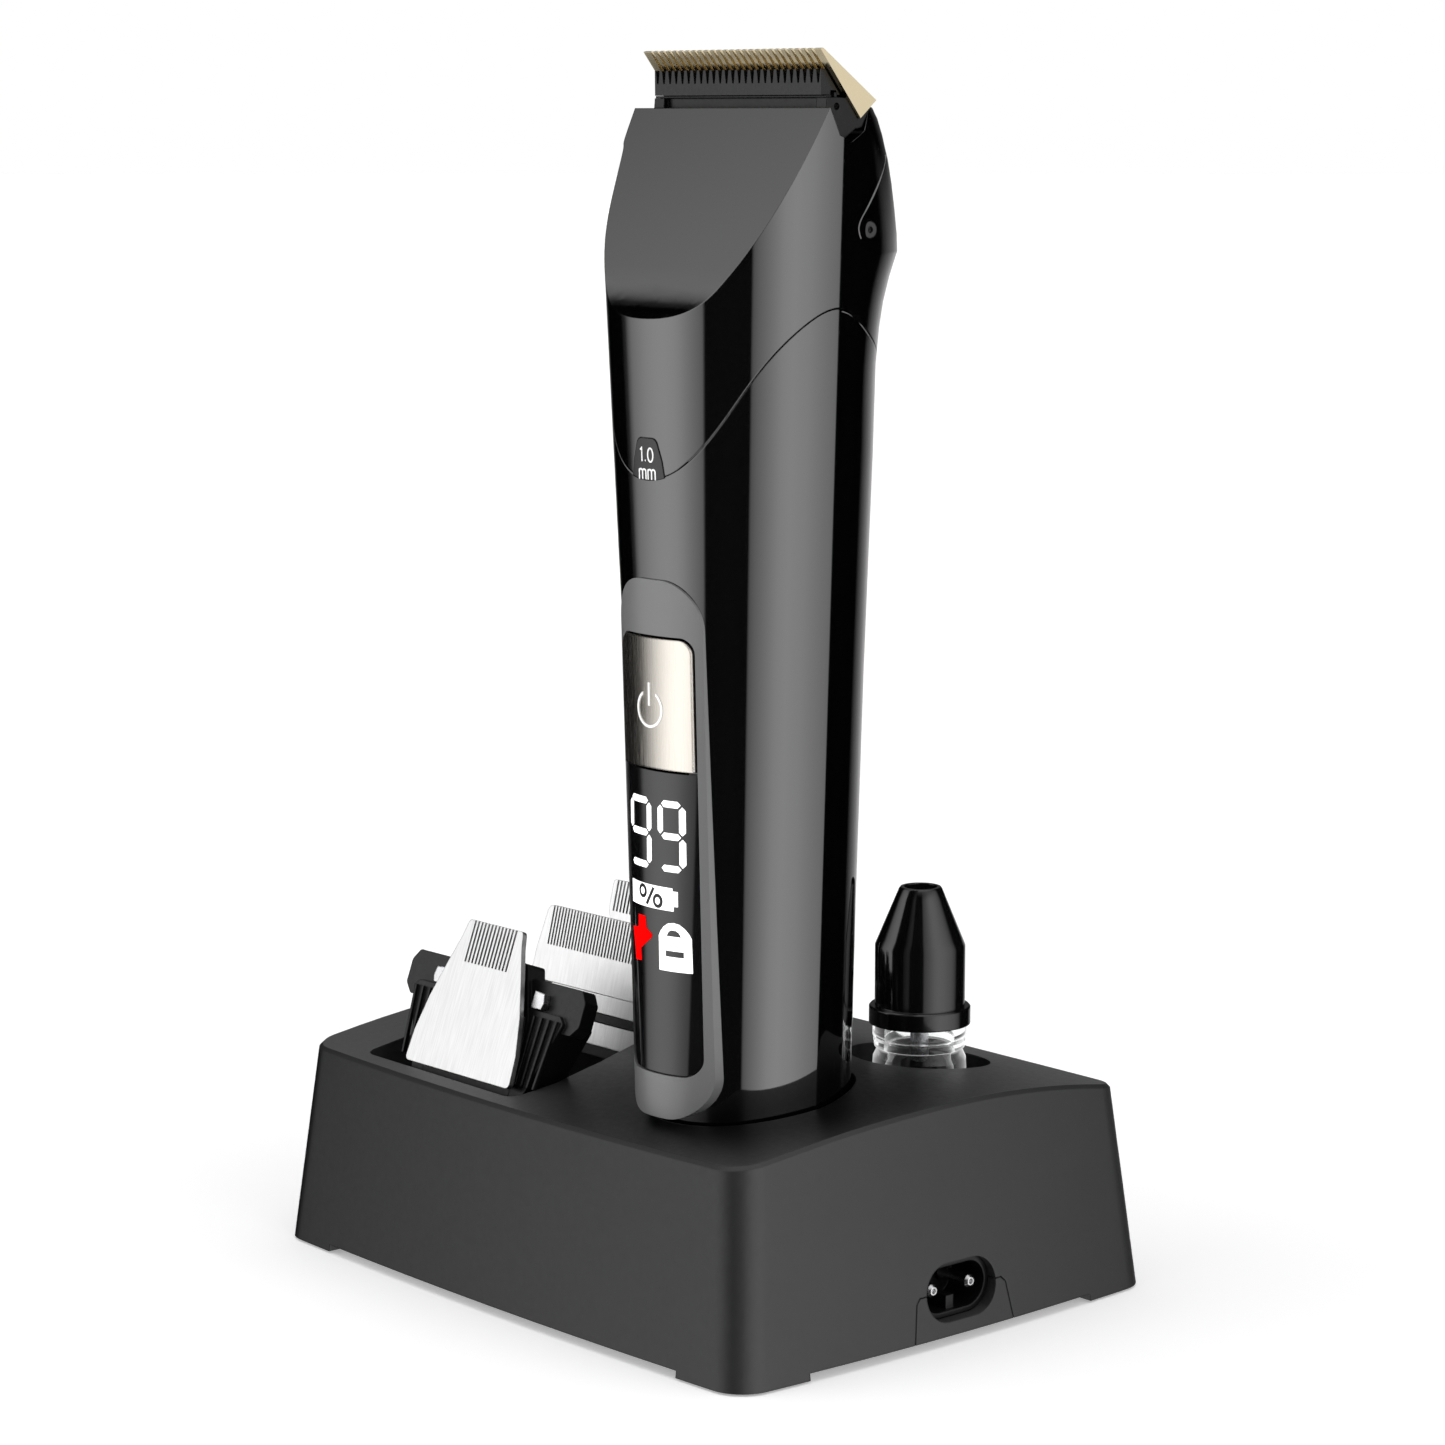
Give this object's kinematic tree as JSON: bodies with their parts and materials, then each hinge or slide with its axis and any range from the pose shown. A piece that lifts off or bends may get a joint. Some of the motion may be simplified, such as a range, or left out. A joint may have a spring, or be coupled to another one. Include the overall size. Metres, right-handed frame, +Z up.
{
  "type": "hair clipper",
  "caption": "Cordless hair clipper with a display, docked upright in a charging stand with spare trimmer heads and a nose trimmer head.",
  "frame": {"origin": "bottom centre of the charging stand, on the surface it stands on", "axes": "+Z up, -Y towards the side the display faces, +X towards the side with the mains inlet"},
  "size_m": [0.1276, 0.0986, 0.2104],
  "materials": {
    "battery_wrap": "shrink wrap",
    "bezel_grey": "satin grey",
    "blade_steel": "vertical brushing",
    "blade_titanium": "gold titanium coating",
    "bracket_black": "satin",
    "button_champagne": "brushed champagne nickel",
    "circuit_board": "solder mask",
    "clear_plastic": "clear moulded plastic",
    "clip_steel": "stamped",
    "contact_gold": "gold plated",
    "cutter_ceramic": "satin black ceramic",
    "display_red": "lit red",
    "display_white": "lit white",
    "display_window": "dark smoked window",
    "drive_steel": "turned",
    "frame_plastic": "moulded",
    "gloss_shell": "piano black",
    "head_black": "satin black",
    "icon_dark": "printed white",
    "indicator_black": "gloss black",
    "inlet_black": "satin",
    "module_black": "satin",
    "motor_can": "drawn steel",
    "nose_black": "gloss black",
    "pin_metal": "polished nickel",
    "pivot_metal": "gloss black",
    "rubber_pad": "matt",
    "screw_steel": "zinc plated",
    "spring_steel": "spring wire",
    "stand_cover": "fine grained",
    "stand_plastic": "satin charcoal",
    "switch_metal": "stamped",
    "transformer_block": "varnished"
  },
  "bodies": {
    "stand": {"stand_shell": "stand_plastic", "inlet_panel": "stand_plastic", "bottom_plate": "stand_cover", "stand_feet": "rubber_pad", "stand_bosses": "stand_cover", "stand_screws": "screw_steel", "inlet_insert": "inlet_black", "inlet_pins": "pin_metal", "stand_pcb": "circuit_board", "stand_transformer": "transformer_block", "stand_contacts": "contact_gold", "tray_posts": "stand_cover", "nose_seat": "stand_cover"},
    "clipper": {"grip_shell": "gloss_shell", "head_shell": "gloss_shell", "bezel": "bezel_grey", "display_lens": "display_window", "display_symbols": "display_white", "display_plug_icon": "display_red", "indicator_tab": "indicator_black", "main_pcb": "circuit_board", "display_module": "module_black", "button_switch": "switch_metal", "inner_frame": "frame_plastic", "battery": "battery_wrap", "clipper_contacts": "contact_gold", "motor": "motor_can", "motor_mount": "frame_plastic", "head_pivots": "pivot_metal"},
    "button": {"power_button": "button_champagne", "button_icon": "icon_dark"},
    "blade_unit": {"fixed_blade": "blade_titanium", "blade_bracket": "bracket_black", "blade_screws": "screw_steel", "blade_spring": "spring_steel"},
    "cutter": {"cutter": "cutter_ceramic"},
    "drive": {"eccentric": "drive_steel"},
    "detail_head": {"detail_base": "head_black", "detail_plate": "blade_steel", "detail_clips": "clip_steel"},
    "detail_blade": {"detail_cutter": "blade_steel"},
    "wide_head": {"wide_base": "head_black", "wide_plate": "blade_steel", "wide_guide": "blade_steel"},
    "wide_blade": {"wide_cutter": "blade_steel"},
    "tee_head": {"tee_base": "head_black", "tee_plate": "blade_steel"},
    "tee_blade": {"tee_cutter": "blade_steel"},
    "nose_head": {"nose_body": "nose_black", "nose_collar": "clear_plastic", "nose_bearing": "frame_plastic"},
    "nose_drive": {"nose_rotor": "drive_steel"}
  },
  "joints": [
    {"name": "clipper_lift", "type": "slide", "parent": "stand", "child": "clipper", "axis": [0, 0, 1], "range_m": [0, 0.06]},
    {"name": "button_press", "type": "slide", "parent": "clipper", "child": "button", "axis": [0, 1, 0], "range_m": [0, 0.0006], "stiffness_N_per_m": 900},
    {"name": "blade_unit_lift", "type": "slide", "parent": "clipper", "child": "blade_unit", "axis": [0, 0, 1], "range_m": [0, 0.03]},
    {"name": "cutter_stroke", "type": "slide", "parent": "blade_unit", "child": "cutter", "axis": [1, 0, 0], "range_m": [-0.001, 0.001]},
    {"name": "drive_spin", "type": "hinge", "parent": "clipper", "child": "drive", "pos_m": [0.02935, -0.014, 0.175], "axis": [0, 0, 1], "continuous": true},
    {"name": "detail_head_lift", "type": "slide", "parent": "stand", "child": "detail_head", "axis": [0, 0, 1], "range_m": [0, 0.05]},
    {"name": "detail_blade_stroke", "type": "slide", "parent": "detail_head", "child": "detail_blade", "axis": [1, 0, 0], "range_m": [-0.0007, 0.0007]},
    {"name": "wide_head_lift", "type": "slide", "parent": "stand", "child": "wide_head", "axis": [0, 0, 1], "range_m": [0, 0.05]},
    {"name": "wide_blade_stroke", "type": "slide", "parent": "wide_head", "child": "wide_blade", "axis": [1, 0, 0], "range_m": [-0.0007, 0.0007]},
    {"name": "tee_head_lift", "type": "slide", "parent": "stand", "child": "tee_head", "axis": [0, 0, 1], "range_m": [0, 0.05]},
    {"name": "tee_blade_stroke", "type": "slide", "parent": "tee_head", "child": "tee_blade", "axis": [1, 0, 0], "range_m": [-0.0007, 0.0007]},
    {"name": "nose_head_lift", "type": "slide", "parent": "stand", "child": "nose_head", "axis": [0, 0, 1], "range_m": [0, 0.04]},
    {"name": "nose_spin", "type": "hinge", "parent": "nose_head", "child": "nose_drive", "pos_m": [0.0286, 0.0243, 0.05], "axis": [0, 0, 1], "continuous": true}
  ]
}
